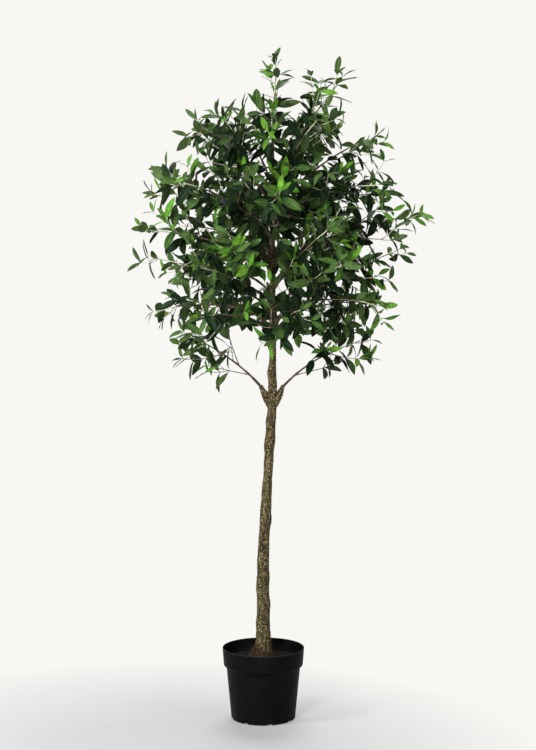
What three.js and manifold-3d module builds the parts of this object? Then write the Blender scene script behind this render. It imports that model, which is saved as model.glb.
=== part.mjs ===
// An artificial olive tree in a black nursery pot, in millimetres, +Z up.
// The origin is the centre of the pot's underside; +X is the side that the trunk leans to.
import * as THREE from "three";
import { mergeVertices } from "three/addons/utils/BufferGeometryUtils.js";
import Module from "manifold-3d";

const wasm = await Module();
wasm.setup();

// Gap between neighbouring pieces, and the shortest edge that a join leaves
const CLEARANCE = 0.3;
const SHORT_EDGE = 0.05;

// Pot
const POT_HEIGHT = 195;
const POT_BASE_RADIUS = 87;
const POT_NECK_RADIUS = 100;
const POT_RIM_RADIUS = 110.8;
const POT_BAND_HEIGHT = 50;
const POT_BAND_DRAFT = 3.5;
const POT_WALL = 2.6;
const POT_FLOOR = 4;
const POT_EDGE = 3;
const POT_SIDES = 36;

// Ballast and black topping that fill the pot
const FILL_TOP = 165;

// Trunk: plumb out of the pot, then a slight lean to +X below the first fork
const TRUNK_FOOT = FILL_TOP + CLEARANCE;
const TRUNK_TOP = 1490;
const LEAN = 25;
const LEAN_STARTS = 380;
const LEAN_ENDS = 960;
const FOOT_RADIUS = 18.6;
const FLARE = 10;
const FLARE_HEIGHT = 40;
const FORK_HEIGHT = 858;
const FORK_RADIUS = 11.8;
const FORK_SHOULDER = 34;
const LEADER_RADIUS = 11.4;
const TRUNK_TIP_RADIUS = 5;
const TRUNK_SIDES = 12;

// Boughs: a thick bark stub with a shoulder, out of which a thin limb grows
const BOUGH_SIDES = 5;
const STUB_LENGTH = 46;
const SHOULDER_LENGTH = 12;
const LIMB_RADIUS = 4.6;
const BOUGH_TIP_RADIUS = 2.9;
const CONTROL_SHARE = 0.32;

// Limbs by tier. A tier has `count` limbs all round, from `first` degrees on (+X is 0, +Y is 90), and each
// leaves the trunk `climb` above the last, `hop` places further round. A limb leaves the trunk at the height
// `from`, rising at `rise` degrees, and ends `reach` from the trunk's line at the height `to`. Where a tier
// has a `stub`, the limb's first share is a bough of its own with that radius; else its stem, which starts
// with the radius `stem`, grows straight out of the trunk. Its `seed` deals out how far each limb strays.
const TIERS = [
  {
    name: "low", seed: 22, count: 2, hop: 1, first: 4, from: 868,
    climb: 0, rise: 56, reach: 231, to: 1036, stub: 11,
  },
  {
    name: "skirt", seed: 122, count: 7, hop: 3, first: 280, from: 1004,
    climb: 14, rise: 50, reach: 292, to: 1094, stub: 7,
  },
  {
    name: "waist", seed: 222, count: 6, hop: 5, first: 2, from: 1102,
    climb: 12, rise: 35, reach: 318, to: 1224, stem: 3.6,
  },
  {
    name: "middle", seed: 330, count: 7, hop: 3, first: 297, from: 1174,
    climb: 14, rise: 41, reach: 302, to: 1301, stub: 6.2,
  },
  {
    name: "sprig", seed: 422, count: 1, hop: 1, first: 5, from: 1268,
    climb: 0, rise: 34, reach: 377, to: 1371, stem: 4,
  },
  {
    name: "shoulder", seed: 522, count: 7, hop: 3, first: 273, from: 1282,
    climb: 12, rise: 44, reach: 310, to: 1418, stem: 4,
  },
  {
    name: "upper", seed: 695, count: 5, hop: 2, first: 1, from: 1370,
    climb: 11, rise: 57, reach: 245, to: 1558, stem: 3.6,
  },
  {
    name: "top", seed: 722, count: 3, hop: 2, first: 149, from: 1428,
    climb: 11, rise: 74, reach: 111, to: 1590, stem: 3.2,
  },
  {
    name: "crest", seed: 822, count: 1, hop: 1, first: 358, from: 1461,
    climb: 0, rise: 61, reach: 171, to: 1706, stem: 3.2,
  },
];
const BOUGH_SHARE = 0.32;
const TURN_SPREAD = 14;
const REACH_SPREAD = 0.11;
const HEIGHT_SPREAD = 50;
const LEADER = { label: "leader", from: TRUNK_TOP + CLEARANCE, reach: 8, to: 1721, stem: 4.4 };

// Foliage: side shoots in a spiral round each stem, leaves along stem and shoots
const SHOOT_SPACING = 96;
const SHOOT_ANGLE = 52;
const SHOOT_LENGTH = 118;
const SHOOT_TAPER = 0.1;
const SHOOT_LIFT = 0.16;
const SHOOT_BEND = 0.55;
const SHOOT_RUN = 0.95;
const SHOOT_FIRST = 0.06;
const SHOOT_SPAN = 0.8;
const SHOOT_STRAY = 40;
const SIZE_LEAST = 0.85;
const SIZE_SPREAD = 0.3;
const GOLDEN_TURN = 137.5;
const STEM_RADIUS = 2.8;
const STEM_TIP_RADIUS = 1.6;
const SHOOT_RADIUS = 2.2;
const SHOOT_TIP_RADIUS = 1.4;
const TWIG_SIDES = 3;
const SIDE_TURN = 360 / TWIG_SIDES;
const LEAF_LENGTH = 82;
const LEAF_WIDTH = 29;
const LEAF_WIDEST = 0.46;
const LEAF_FOLD = 2.6;
const LEAF_DROOP = 6;
const LEAF_ANGLE = 54;
const LEAF_ROLL = 40;
const LEAF_SPACING = 56;
const LEAF_SIZES = [1, 0.82, 0.66];
const TIP_LEAF = 0.9;
const LEAF_FIRST = 26;
const LEAF_LAST = 9;
const FREE_ROOT = 0.14;
const FREE_SIDE = 0.55;
const FREE_TIP = 1.04;
const MASS_SEED = 1000;
const MASS_SEED_STEP = 77;
const ROOT_HALF = 1.4;
const TWIST = 40;
const TRIES = 8;
const SPACE_MARGIN = 3;
const LIMB_MARGIN = 5;
const TWIG_MARGIN = 10;
const SPINE_STEPS = 8;

const UP = new THREE.Vector3(0, 0, 1);
const { degToRad, lerp, smoothstep, clamp } = THREE.MathUtils;

const bark = { color: 0x5d5439, roughness: 0.9, metalness: 0 };
const potPlastic = { color: 0x171717, roughness: 0.55, metalness: 0 };
const topping = { color: 0x100e0c, roughness: 0.95, metalness: 0 };
const foliage = { color: 0x3c5f2a, roughness: 0.5, metalness: 0 };

// Repeatable random numbers from 0 to 1
function seeded(seed) {
  let state = seed;
  return () => {
    state = (state + 0x6d2b79f5) | 0;
    let mixed = Math.imul(state ^ (state >>> 15), 1 | state);
    mixed = (mixed + Math.imul(mixed ^ (mixed >>> 7), 61 | mixed)) ^ mixed;
    return ((mixed ^ (mixed >>> 14)) >>> 0) / 4294967296;
  };
}

// Closed geometry as a solid that can be joined and cut
function solidOf(geometry) {
  const bare = geometry.clone();
  bare.deleteAttribute("normal");
  bare.deleteAttribute("uv");
  const merged = mergeVertices(bare);
  return new wasm.Manifold(
    new wasm.Mesh({
      numProp: 3,
      vertProperties: merged.getAttribute("position").array,
      triVerts: new Uint32Array(merged.index.array),
    }),
  );
}

// A solid's largest body as geometry, so a loose scrap or a sealed hollow is left behind
function geometryOf(solid) {
  const bodies = solid.decompose().sort((a, b) => b.volume() - a.volume());
  const mesh = bodies[0].getMesh();
  const geometry = new THREE.BufferGeometry();
  geometry.setAttribute("position", new THREE.BufferAttribute(mesh.vertProperties, 3));
  geometry.setIndex(new THREE.BufferAttribute(mesh.triVerts, 1));
  geometry.computeVertexNormals();
  return geometry;
}

function addMesh(group, name, geometry, finish) {
  const mesh = new THREE.Mesh(geometry, new THREE.MeshStandardMaterial(finish));
  mesh.name = name;
  group.add(mesh);
}

// A cylinder bent along a curve, with rings at the given shares of its length and its own radius at each
function bentCylinder(curve, radiusAt, sides, shares) {
  const steps = shares.length - 1;
  const geometry = new THREE.CylinderGeometry(1, 1, 1, sides, steps).rotateX(Math.PI / 2);
  const position = geometry.getAttribute("position");
  const corner = new THREE.Vector3();
  const facing = new THREE.Quaternion();
  for (let i = 0; i < position.count; i++) {
    corner.fromBufferAttribute(position, i);
    const share = shares[Math.round((corner.z + 0.5) * steps)];
    const radius = radiusAt(share);
    facing.setFromUnitVectors(UP, curve.getTangent(share));
    corner.set(corner.x * radius, corner.y * radius, 0).applyQuaternion(facing).add(curve.getPoint(share));
    position.setXYZ(i, corner.x, corner.y, corner.z);
  }
  return geometry;
}

// A profile of radii and heights, turned round the upright axis
function turned(profile) {
  const outline = profile.map(([radius, height]) => new THREE.Vector2(radius, height));
  return new THREE.LatheGeometry(outline, POT_SIDES).rotateX(Math.PI / 2);
}

// The pot's inside, from its floor up to its rim
function potInside() {
  const bandFoot = POT_HEIGHT - POT_BAND_HEIGHT;
  return [
    [POT_BASE_RADIUS - POT_WALL, POT_FLOOR],
    [POT_NECK_RADIUS - POT_WALL, bandFoot],
    [POT_RIM_RADIUS - POT_BAND_DRAFT - POT_WALL, bandFoot + POT_EDGE + POT_WALL],
    [POT_RIM_RADIUS - POT_WALL, POT_HEIGHT],
  ];
}

// The pot's shell: a tapering body under a wider rim band
function potGeometry() {
  const bandFoot = POT_HEIGHT - POT_BAND_HEIGHT;
  return turned([
    [0, 0],
    [POT_BASE_RADIUS - POT_EDGE, 0],
    [POT_BASE_RADIUS, POT_EDGE],
    [POT_NECK_RADIUS, bandFoot - POT_EDGE],
    [POT_RIM_RADIUS - POT_BAND_DRAFT, bandFoot + POT_EDGE],
    [POT_RIM_RADIUS, POT_HEIGHT],
    ...potInside().reverse(),
    [0, POT_FLOOR],
  ]);
}

// The pot's filling, which stands clear of the shell all round
function fillGeometry() {
  const inset = ([radius, height]) => [radius - 2 * CLEARANCE, height + CLEARANCE];
  const [floor, neck, band, rim] = potInside().map(inset);
  const topRadius = lerp(band[0], rim[0], (FILL_TOP - band[1]) / (rim[1] - band[1]));
  return turned([[0, floor[1]], floor, neck, band, [topRadius, FILL_TOP], [0, FILL_TOP]]);
}

// The trunk's line at a height
function trunkPoint(height) {
  return new THREE.Vector3(LEAN * smoothstep(height, LEAN_STARTS, LEAN_ENDS), 0, height);
}

// The trunk's radius at a height: root flare, long taper, shoulder at the first fork, slim leader
function trunkRadius(height) {
  const flare = FLARE * Math.exp((TRUNK_FOOT - height) / FLARE_HEIGHT);
  const below = clamp((height - TRUNK_FOOT) / (FORK_HEIGHT - TRUNK_FOOT), 0, 1);
  const above = clamp((height - FORK_HEIGHT) / (TRUNK_TOP - FORK_HEIGHT), 0, 1);
  const fork = smoothstep(height, FORK_HEIGHT, FORK_HEIGHT + FORK_SHOULDER);
  const stock = lerp(FOOT_RADIUS, FORK_RADIUS, below);
  return flare + lerp(stock, lerp(LEADER_RADIUS, TRUNK_TIP_RADIUS, above), fork);
}

// Heights of the trunk's rings: close over the root flare and the fork, even between
function trunkHeights() {
  const even = (from, to, count) => Array.from({ length: count }, (_, k) => lerp(from, to, k / count));
  const flareTop = TRUNK_FOOT + 3 * FLARE_HEIGHT;
  const forkTop = FORK_HEIGHT + FORK_SHOULDER;
  return [
    ...[0, 0.3, 0.8, 1.6].map((share) => TRUNK_FOOT + share * FLARE_HEIGHT),
    ...even(flareTop, FORK_HEIGHT, 8),
    FORK_HEIGHT,
    (FORK_HEIGHT + forkTop) / 2,
    ...even(forkTop, TRUNK_TOP, 8),
    TRUNK_TOP,
  ];
}

class TrunkLine extends THREE.Curve {
  getPoint(share) {
    return trunkPoint(lerp(TRUNK_FOOT, TRUNK_TOP, share));
  }
}

// Radii all round are grown by `extra`, and both ends keep their heights
function trunkGeometry(extra = 0) {
  const heightAt = (share) => lerp(TRUNK_FOOT, TRUNK_TOP, share);
  const shares = trunkHeights().map((height) => (height - TRUNK_FOOT) / (TRUNK_TOP - TRUNK_FOOT));
  const radiusAt = (share) => trunkRadius(heightAt(share)) + extra;
  const geometry = bentCylinder(new TrunkLine(), radiusAt, TRUNK_SIDES, shares);
  const position = geometry.getAttribute("position");
  for (let i = 0; i < position.count; i++) {
    position.setZ(i, clamp(position.getZ(i), TRUNK_FOOT, TRUNK_TOP));
  }
  return geometry;
}

// A limb's line from the trunk's axis to its tip
function limbCurve({ from, turn, reach, to, rise }) {
  const start = trunkPoint(from);
  const outward = new THREE.Vector3(Math.cos(degToRad(turn)), Math.sin(degToRad(turn)), 0);
  const bend = start.clone().addScaledVector(outward, CONTROL_SHARE * reach);
  bend.z += Math.tan(degToRad(rise)) * CONTROL_SHARE * reach;
  const tip = start.clone().addScaledVector(outward, reach).setZ(to);
  return new THREE.QuadraticBezierCurve3(start, bend, tip);
}

function leaderCurve({ from, reach, to }) {
  const start = trunkPoint(from).setZ(from);
  const tip = new THREE.Vector3(start.x + reach, start.y, to);
  return new THREE.QuadraticBezierCurve3(start, start.clone().lerp(tip, 0.5).setX(start.x), tip);
}

// Part of a curve as a curve of its own
class Stretch extends THREE.Curve {
  constructor(whole, first, last) {
    super();
    Object.assign(this, { whole, first, last });
  }

  getPoint(share) {
    return this.whole.getPoint(lerp(this.first, this.last, share));
  }
}

// A bough: its stub as far as the shoulder, then the thin limb to where the foliage begins
function boughGeometry(limb, grownTrunk) {
  const line = new Stretch(limb.curve, 0, limb.boughShare);
  const stubEnd = STUB_LENGTH / line.getLength();
  const limbStart = (STUB_LENGTH + SHOULDER_LENGTH) / line.getLength();
  const radiusAt = (share) =>
    lerp(limb.stub, lerp(LIMB_RADIUS, BOUGH_TIP_RADIUS, share), smoothstep(share, stubEnd, limbStart));
  const whole = solidOf(bentCylinder(line, radiusAt, BOUGH_SIDES, [0, stubEnd / 2, stubEnd, limbStart, 1]));
  return geometryOf(whole.subtract(grownTrunk));
}

// A direction that leans away from `axis` by `angle` degrees, `around` degrees round it from the upper side
function leaning(axis, angle, around) {
  const upper = UP.clone().addScaledVector(axis, -UP.dot(axis)).normalize();
  const away = upper.applyAxisAngle(axis, degToRad(around));
  const [across, ahead] = [Math.sin(degToRad(angle)), Math.cos(degToRad(angle))];
  return axis.clone().multiplyScalar(ahead).addScaledVector(away, across);
}

// A side shoot's line: out from the stem, then bending up towards the light
function shootCurve(base, heading, length) {
  const bend = base.clone().addScaledVector(heading, SHOOT_BEND * length);
  const tip = base.clone().addScaledVector(heading, SHOOT_RUN * length);
  tip.addScaledVector(UP, SHOOT_LIFT * length);
  return new THREE.QuadraticBezierCurve3(base, bend, tip);
}

// The first of several trials, each turned further round, that fits its space
function firstFit(make, fits) {
  for (let trial = 0; trial < TRIES; trial++) {
    const made = make((360 / TRIES) * trial);
    if (fits(made)) return [made];
  }
  return [];
}

// The side shoots of one stem, in a spiral and shorter towards the tip
function shootsOf(stem, random, fits) {
  const count = Math.round(stem.getLength() / SHOOT_SPACING);
  const shoots = [];
  for (let k = 0; k < count; k++) {
    const at = SHOOT_FIRST + SHOOT_SPAN * ((k + 0.5 * random()) / count);
    const around = k * GOLDEN_TURN + SHOOT_STRAY * random();
    const length = SHOOT_LENGTH * (1 - SHOOT_TAPER * at) * (SIZE_LEAST + SIZE_SPREAD * random());
    const make = (turned) =>
      shootCurve(stem.getPoint(at), leaning(stem.getTangent(at), SHOOT_ANGLE, around + turned), length);
    shoots.push(...firstFit(make, fits));
  }
  return shoots;
}

// Shares of a twig's length where leaves stand, the last close to the tip
function stationsOf(line) {
  const length = line.getLength();
  const stretch = Math.max(0, length - LEAF_FIRST - LEAF_LAST);
  const count = Math.max(1, Math.round(stretch / LEAF_SPACING));
  const first = length - LEAF_LAST - stretch;
  return Array.from({ length: count + 1 }, (_, k) => (first + (k * stretch) / count) / length);
}

// A leaf's place: `along` from root to tip, `side` across the blade, `face` out of its upper side.
// A leaf that doesn't fit at its full size grows smaller, or not at all.
function placeLeaf(root, along, across, size, random, fits) {
  const side = across.clone().applyAxisAngle(along, degToRad(LEAF_ROLL * (2 * random() - 1)));
  const face = along.clone().cross(side);
  const grown = size * (SIZE_LEAST + SIZE_SPREAD * random());
  const sizes = LEAF_SIZES.map((share) => ({
    root, along, side, face, length: share * grown * LEAF_LENGTH, width: share * grown * LEAF_WIDTH,
  }));
  return sizes.find(fits) ?? null;
}

function onLeaf({ root, along, side, face }, forward, across, up) {
  return root.clone().addScaledVector(along, forward).addScaledVector(side, across).addScaledVector(face, up);
}

// A leaf's outline a little outside its blade, from just clear of its twig to its tip, for checks
function outlineOf(leaf) {
  const { length, width } = leaf;
  const root = onLeaf(leaf, FREE_ROOT * length, 0, 0);
  const right = onLeaf(leaf, LEAF_WIDEST * length, FREE_SIDE * width, LEAF_FOLD);
  const tip = onLeaf(leaf, FREE_TIP * length, 0, -LEAF_DROOP);
  const left = onLeaf(leaf, LEAF_WIDEST * length, -FREE_SIDE * width, LEAF_FOLD);
  return {
    corners: [right, tip, left, root.clone().lerp(tip, 0.4)],
    edges: [[root, right], [right, tip], [tip, left], [left, root], [root, tip]],
    halves: [[root, right, tip], [root, tip, left]],
  };
}

// Whether the way from one point to another passes through a leaf
function pierces(from, to, { halves }) {
  const way = to.clone().sub(from);
  const ray = new THREE.Ray(from, way.clone().normalize());
  return halves.some((half) => {
    const hit = ray.intersectTriangle(...half, false, new THREE.Vector3());
    return hit !== null && hit.distanceTo(from) < way.length();
  });
}

function doCross(one, other) {
  return one.edges.some(([a, b]) => pierces(a, b, other)) || other.edges.some(([a, b]) => pierces(a, b, one));
}

// Grows a leaf out of a side of a twig, whose corners are lower left, lower right, upper right, upper left
function growLeaf(corners, faces, [a, b, c, d], leaf) {
  const right = corners.push(onLeaf(leaf, LEAF_WIDEST * leaf.length, leaf.width / 2, LEAF_FOLD)) - 1;
  const left = corners.push(onLeaf(leaf, LEAF_WIDEST * leaf.length, -leaf.width / 2, LEAF_FOLD)) - 1;
  const tip = corners.push(onLeaf(leaf, leaf.length, 0, -LEAF_DROOP)) - 1;
  faces.push([d, left, tip], [d, tip, c], [c, tip, right]);
  faces.push([a, tip, left], [b, right, tip]);
  faces.push([b, c, right], [d, a, left]);
  if (a !== b) faces.push([a, b, tip]);
}

// A direction square to a line, `angle` degrees round it
function radial(line, share, angle) {
  const facing = new THREE.Quaternion().setFromUnitVectors(UP, line.getTangent(share));
  return new THREE.Vector3(Math.cos(degToRad(angle)), Math.sin(degToRad(angle)), 0).applyQuaternion(facing);
}

// The leaves of a twig: up to one out of each side at each station, and one that ends it
function leavesOf(line, random, fits) {
  const end = placeLeaf(line.getPoint(1), line.getTangent(1), radial(line, 1, 90), TIP_LEAF, random, fits);
  const whorls = stationsOf(line).map((share, k) => {
    const tangent = line.getTangent(share);
    const leaves = Array.from({ length: TWIG_SIDES }, (_, j) => {
      const away = radial(line, share, k * TWIST + (j + 0.5) * SIDE_TURN);
      const along = tangent.clone().multiplyScalar(Math.cos(degToRad(LEAF_ANGLE)));
      along.addScaledVector(away, Math.sin(degToRad(LEAF_ANGLE)));
      return placeLeaf(line.getPoint(share), along, tangent.clone().cross(away), 1, random, fits);
    });
    return { share, turn: k * TWIST, leaves };
  });
  return { end, whorls: whorls.filter(({ leaves }) => leaves.some((leaf) => leaf)) };
}

// A three-sided twig as rings of corners, closed at its root, with its leaves grown out of it
function sprigGeometry(line, thick, thin, { end, whorls }) {
  const half = ROOT_HALF / line.getLength();
  const rings = [{ share: 0, turn: 0 }];
  for (const { share, turn, leaves } of whorls) {
    rings.push({ share: share - half, turn, leaves }, { share: share + half, turn });
  }
  rings.push({ share: 1, turn: 0 });
  const corners = rings.flatMap(({ share, turn }) => {
    const radius = lerp(thick, thin, share);
    const ways = Array.from({ length: TWIG_SIDES }, (_, j) => radial(line, share, turn + j * SIDE_TURN));
    return ways.map((way) => line.getPoint(share).addScaledVector(way, radius));
  });
  const faces = [[2, 1, 0]];
  rings.slice(1).forEach((_, k) => {
    for (let j = 0; j < TWIG_SIDES; j++) {
      const next = (j + 1) % TWIG_SIDES;
      const low = k * TWIG_SIDES;
      const high = low + TWIG_SIDES;
      const side = [low + j, low + next, high + next, high + j];
      const leaf = rings[k].leaves?.[j];
      if (leaf) growLeaf(corners, faces, side, leaf);
      else faces.push([side[0], side[1], side[2]], [side[0], side[2], side[3]]);
    }
  });
  const last = (rings.length - 1) * TWIG_SIDES;
  if (end) growLeaf(corners, faces, [last, last, last + 1, last + 2], end);
  else faces.push([last, last + 1, last + 2]);
  return new THREE.BufferGeometry().setFromPoints(corners).setIndex(faces.flat());
}

function distanceTo(spine, point) {
  const nearest = new THREE.Vector3();
  let least = Infinity;
  for (const piece of spine) {
    piece.closestPointToPoint(point, true, nearest);
    least = Math.min(least, nearest.distanceTo(point));
  }
  return least;
}

function spineOf(curve) {
  const points = curve.getPoints(SPINE_STEPS);
  return points.slice(1).map((point, k) => new THREE.Line3(points[k], point));
}

// Each mass keeps the space that lies nearer its own limb than any other
function isInOwnSpace(point, limb, limbs) {
  const own = distanceTo(limb.spine, point) + SPACE_MARGIN;
  return limbs.every((other) => other === limb || distanceTo(other.spine, point) > own);
}

function isClearOfWood(point, limbs) {
  const inReach = point.z < TRUNK_TOP + LIMB_MARGIN;
  if (inReach && trunkPoint(point.z).distanceTo(point) < trunkRadius(point.z) + LIMB_MARGIN) return false;
  return limbs.every(({ stub, boughSpine }) => !stub || distanceTo(boughSpine, point) > stub + LIMB_MARGIN);
}

// One mass of foliage: a leafy stem and its leafy side shoots, fused
function foliageGeometry(limb, limbs, grownTrunk) {
  const random = seeded(limb.seed);
  const gap = limb.stub ? CLEARANCE / limb.curve.getLength() : 0;
  const stem = new Stretch(limb.curve, limb.boughShare + gap, 1);
  const isFree = (point) => isInOwnSpace(point, limb, limbs) && isClearOfWood(point, limbs);
  const twigs = spineOf(stem);
  const blades = [];
  const shoots = shootsOf(stem, random, (shoot) => {
    const points = shoot.getPoints(SPINE_STEPS).slice(2);
    const free = points.every((point) => isFree(point) && distanceTo(twigs, point) > TWIG_MARGIN);
    if (free) twigs.push(...spineOf(shoot));
    return free;
  });
  const fits = (leaf) => {
    const blade = outlineOf(leaf);
    const free = blade.corners.every(isFree) && !twigs.some(({ start, end }) => pierces(start, end, blade));
    if (!free || blades.some((other) => doCross(blade, other))) return false;
    blades.push(blade);
    return true;
  };
  const sprig = (line, thick, thin) =>
    solidOf(sprigGeometry(line, thick, thin, leavesOf(line, random, fits)));
  const solids = [
    sprig(stem, limb.stem ?? STEM_RADIUS, STEM_TIP_RADIUS),
    ...shoots.map((shoot) => sprig(shoot, SHOOT_RADIUS, SHOOT_TIP_RADIUS)),
  ];
  return geometryOf(wasm.Manifold.union(solids).subtract(grownTrunk).simplify(SHORT_EDGE));
}

// Every limb with its line, the spine that its space lies round, and its label
function makeLimbs() {
  const limbs = TIERS.flatMap(({ name, seed, count, hop, first, from, climb, ...tier }) =>
    Array.from({ length: count }, (_, k) => {
      const random = seeded(seed + k);
      const spread = (size) => size * (random() - 0.5);
      const turn = first + (k * hop * 360) / count + spread(TURN_SPREAD);
      const reach = tier.reach * (1 + spread(REACH_SPREAD));
      const to = tier.to + spread(HEIGHT_SPREAD);
      const curve = limbCurve({ ...tier, turn, reach, to, from: from + k * climb });
      return { ...tier, curve, label: `${name}_${k + 1}` };
    }),
  );
  limbs.push({ ...LEADER, curve: leaderCurve(LEADER) });
  limbs.forEach((limb, k) => {
    limb.seed = MASS_SEED + MASS_SEED_STEP * k;
    limb.boughShare = limb.stub ? BOUGH_SHARE : 0;
    limb.spine = spineOf(limb.curve);
    limb.boughSpine = spineOf(new Stretch(limb.curve, 0, limb.boughShare));
  });
  return limbs;
}

function oliveTree() {
  const tree = new THREE.Group();
  addMesh(tree, "pot", potGeometry(), potPlastic);
  addMesh(tree, "pot_fill", fillGeometry(), topping);
  addMesh(tree, "trunk", trunkGeometry(), bark);
  const grownTrunk = solidOf(trunkGeometry(CLEARANCE));
  const limbs = makeLimbs();
  for (const limb of limbs) {
    if (limb.stub) {
      addMesh(tree, `bough_${limb.label}`, boughGeometry(limb, grownTrunk), bark);
    }
    addMesh(tree, `foliage_${limb.label}`, foliageGeometry(limb, limbs, grownTrunk), foliage);
  }
  return tree;
}

export default oliveTree();
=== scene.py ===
# Dresses the artificial olive tree: bark, twigs, leaves, nursery pot and its filling
import math
import bpy
import numpy as np
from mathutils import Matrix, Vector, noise


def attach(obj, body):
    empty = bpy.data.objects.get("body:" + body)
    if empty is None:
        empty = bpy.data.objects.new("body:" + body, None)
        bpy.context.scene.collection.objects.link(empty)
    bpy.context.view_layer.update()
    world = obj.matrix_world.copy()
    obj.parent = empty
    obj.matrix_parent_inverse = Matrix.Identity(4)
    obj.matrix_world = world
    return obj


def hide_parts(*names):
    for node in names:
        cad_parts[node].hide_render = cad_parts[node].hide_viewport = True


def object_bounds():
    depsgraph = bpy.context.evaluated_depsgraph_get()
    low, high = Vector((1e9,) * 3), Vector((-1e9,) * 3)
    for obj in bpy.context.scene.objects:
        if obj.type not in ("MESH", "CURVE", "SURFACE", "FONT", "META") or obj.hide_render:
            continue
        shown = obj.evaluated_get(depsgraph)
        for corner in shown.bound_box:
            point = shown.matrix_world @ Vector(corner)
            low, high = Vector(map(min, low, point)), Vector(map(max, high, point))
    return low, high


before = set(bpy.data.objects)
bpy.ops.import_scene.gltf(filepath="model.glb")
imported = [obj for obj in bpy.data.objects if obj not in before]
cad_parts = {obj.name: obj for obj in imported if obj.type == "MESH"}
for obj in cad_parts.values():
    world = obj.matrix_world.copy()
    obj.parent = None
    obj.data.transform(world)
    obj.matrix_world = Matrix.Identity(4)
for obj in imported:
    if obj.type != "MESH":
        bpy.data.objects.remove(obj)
cadLow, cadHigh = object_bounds()
foliageNodes = sorted(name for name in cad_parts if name.startswith("foliage_"))
boughNodes = sorted(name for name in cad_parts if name.startswith("bough_"))
print("frame loaded:", len(foliageNodes), "masses of foliage,", len(boughNodes), "boughs")

up = np.array([0.0, 0.0, 1.0])


# Small tools for numbers

def seeded(seed):
    state = seed

    def draw():
        nonlocal state
        state = (state + 0x6D2B79F5) & 0xFFFFFFFF
        bits = ((state ^ (state >> 15)) * (1 | state)) & 0xFFFFFFFF
        bits = (bits + (bits ^ (bits >> 7)) * (61 | bits) ^ bits) & 0xFFFFFFFF
        return (bits ^ (bits >> 14)) / 4294967296
    return draw


def ranged(draw, least, room):
    return least + room * draw()


def about(draw, room):  # evenly to either side of nought
    return room * (draw() - 0.5)


def smoothStep(value, low, high):
    share = np.clip((value - low) / (high - low), 0, 1)
    return share * share * (3 - 2 * share)


def mixed(start, end, share):
    return start + (end - start) * share


def unit(vector):
    return vector / np.linalg.norm(vector, axis=-1, keepdims=True)


def sideways(angle):
    return np.array([math.cos(angle), math.sin(angle), 0])


def turned(vector, axis, degrees):
    angle = math.radians(degrees)
    across = np.cross(axis, vector)
    ahead = axis * np.dot(axis, vector) * (1 - math.cos(angle))
    return vector * math.cos(angle) + across * math.sin(angle) + ahead


def paint(red, green, blue):  # a screen colour, 0 to 255, as the shader wants it
    shares = [channel / 255 for channel in (red, green, blue)]
    linear = [s / 12.92 if s <= 0.04045 else ((s + 0.055) / 1.055) ** 2.4 for s in shares]
    return (*linear, 1.0)


# Small tools for meshes

def addObject(name, content, place=(0, 0, 0), turn=(0, 0, 0)):
    thing = bpy.data.objects.new(name, content)
    thing.location = place
    thing.rotation_euler = turn
    bpy.context.scene.collection.objects.link(thing)
    return thing


def makePiece(name, points, parts, materials, replaced):
    # parts holds pairs of faces and their material numbers
    mesh = bpy.data.meshes.new(name)
    corners = [face for faces, _ in parts for face in faces.tolist()]
    mesh.from_pydata(points.tolist(), [], corners, shade_flat=False)
    numbers = np.hstack([np.broadcast_to(number, len(faces)) for faces, number in parts])
    mesh.polygons.foreach_set("material_index", numbers.astype(np.int32))
    for material in materials:
        mesh.materials.append(material)
    piece = addObject(name, mesh)
    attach(piece, "root")
    if replaced:
        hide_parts(*replaced)
    print(name, "has", sum(len(face) - 2 for face in corners), "triangles")
    return piece


def gridFaces(rows, columns, closed=True):
    # quads of a grid of points, row after row, joined round where it is closed
    wide = columns if closed else columns - 1
    row, column = np.meshgrid(np.arange(rows - 1), np.arange(wide), indexing="ij")
    after = (column + 1) % columns
    low, high = row * columns, (row + 1) * columns
    return np.stack([low + column, low + after, high + after, high + column], -1).reshape(-1, 4)


def fullTurn(count):
    return np.linspace(0, 2 * math.pi, count, endpoint=False)


def spokes(ways, across, sides):
    # unit vectors all round each place of a line, square to its way
    ring = fullTurn(sides)
    side = unit(np.cross(ways, across))
    front = np.cross(ways, side)
    return np.cos(ring)[:, None] * side[:, None] + np.sin(ring)[:, None] * front[:, None]


def tubeAlong(line, ways, radii, across, sides):
    return (line[:, None] + spokes(ways, across, sides) * radii[:, None, None]).reshape(-1, 3)


def tubeFaces(count, rings, sides):
    faces = gridFaces(rings, sides)
    return np.vstack([faces + k * rings * sides for k in range(count)])


# Small tools for materials

def plug(tree, node, inputs):
    # gives each socket, by name or number, a value or another node's output
    for name, value in inputs.items():
        if isinstance(value, bpy.types.NodeSocket):
            tree.links.new(value, node.inputs[name])
        else:
            node.inputs[name].default_value = value


def addNode(tree, kind, inputs, output=0, **settings):
    node = tree.nodes.new("ShaderNode" + kind)
    for name, value in settings.items():
        setattr(node, name, value)
    plug(tree, node, inputs)
    return node.outputs[output] if node.outputs else None


def shade(tree, inputs):
    plug(tree, tree.nodes["Principled BSDF"], inputs)


def newMaterial(name, roughness, shine):
    material = bpy.data.materials.new(name)
    material.use_nodes = True
    tree = material.node_tree
    addNode(tree, "TexCoord", {}, name="place")
    shade(tree, {"Roughness": roughness, "Specular IOR Level": shine})
    return material, tree


def placeIn(tree):
    return tree.nodes["place"].outputs["Object"]


def heightIn(tree):
    return addNode(tree, "SeparateXYZ", {"Vector": placeIn(tree)}, "Z")


def grain(tree, scale, detail, stretch=(1, 1, 1)):
    place = addNode(tree, "Mapping", {"Vector": placeIn(tree), "Scale": stretch}, "Vector")
    return addNode(tree, "TexNoise", {"Vector": place, "Scale": scale, "Detail": detail}, "Fac")


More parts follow.
